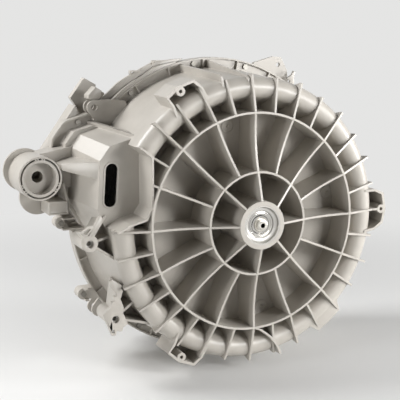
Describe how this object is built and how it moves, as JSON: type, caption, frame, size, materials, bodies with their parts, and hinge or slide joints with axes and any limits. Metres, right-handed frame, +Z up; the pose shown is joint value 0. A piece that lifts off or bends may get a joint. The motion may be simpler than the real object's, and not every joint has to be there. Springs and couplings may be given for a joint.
{
  "type": "washing machine drum assembly",
  "caption": "Plastic tub with ribbed dished back, bearing hub, sump, drain outlet and fixing lugs, holding a steel drum that spins on a shaft.",
  "frame": {"origin": "centre of the hub's rear rim on the drum axis, within the pulley's seat on the shaft", "axes": "-Y along the drum axis out of the ribbed back, +Z up as the assembly lies on a bench, the sump and drain outlet at -X"},
  "size_m": [0.7075, 0.376, 0.58],
  "materials": {
    "tub_plastic": "matt moulded plastic",
    "rubber": "matt",
    "zinc_steel": "zinc plated",
    "insert_steel": "turned",
    "bearing_steel": "ground",
    "shaft_steel": "ground and polished",
    "cast_aluminium": "as cast",
    "stainless_sheet": "satin",
    "lifter_plastic": "semi-gloss"
  },
  "bodies": {
    "tub": {"tub_rear": "tub_plastic", "tub_front": "tub_plastic", "seam_gasket": "rubber", "seam_screws": "zinc_steel", "bearing_sleeve": "insert_steel", "rear_bearing_outer_ring": "bearing_steel", "front_bearing_outer_ring": "bearing_steel", "shaft_seal": "rubber", "transit_box_right": "tub_plastic", "transit_box_top": "tub_plastic", "transit_box_bottom": "tub_plastic", "motor_mount_upper": "tub_plastic", "motor_mount_lower": "tub_plastic", "motor_bush_upper": "insert_steel", "motor_bush_lower": "insert_steel", "damper_clevis_upper": "tub_plastic", "damper_clevis_lower": "tub_plastic", "front_bracket": "tub_plastic", "spring_ear_upper": "tub_plastic", "spring_ear_lower": "tub_plastic", "drain_outlet": "tub_plastic"},
    "drum": {"drum_shaft": "shaft_steel", "seal_sleeve": "shaft_steel", "rear_bearing_inner_ring": "bearing_steel", "front_bearing_inner_ring": "bearing_steel", "drum_spider": "cast_aluminium", "spider_bolts": "zinc_steel", "drum_back": "stainless_sheet", "drum_shell": "stainless_sheet", "drum_front": "stainless_sheet", "drum_lifter_1": "lifter_plastic", "drum_lifter_2": "lifter_plastic", "drum_lifter_3": "lifter_plastic"},
    "rear_cage": {"rear_bearing_cage": "bearing_steel"},
    "front_cage": {"front_bearing_cage": "bearing_steel"}
  },
  "joints": [
    {"name": "drum_spin", "type": "hinge", "parent": "tub", "child": "drum", "pos_m": [0, 0.05, 0], "axis": [0, 1, 0], "continuous": true},
    {"name": "rear_cage_spin", "type": "hinge", "parent": "tub", "child": "rear_cage", "pos_m": [0, 0.0155, 0], "axis": [0, 1, 0], "continuous": true},
    {"name": "front_cage_spin", "type": "hinge", "parent": "tub", "child": "front_cage", "pos_m": [0, 0.09, 0], "axis": [0, 1, 0], "continuous": true}
  ],
  "couplings": [
    {"joint": "rear_cage_spin", "follows": "drum_spin", "ratio": 0.3969},
    {"joint": "front_cage_spin", "follows": "drum_spin", "ratio": 0.3965}
  ]
}
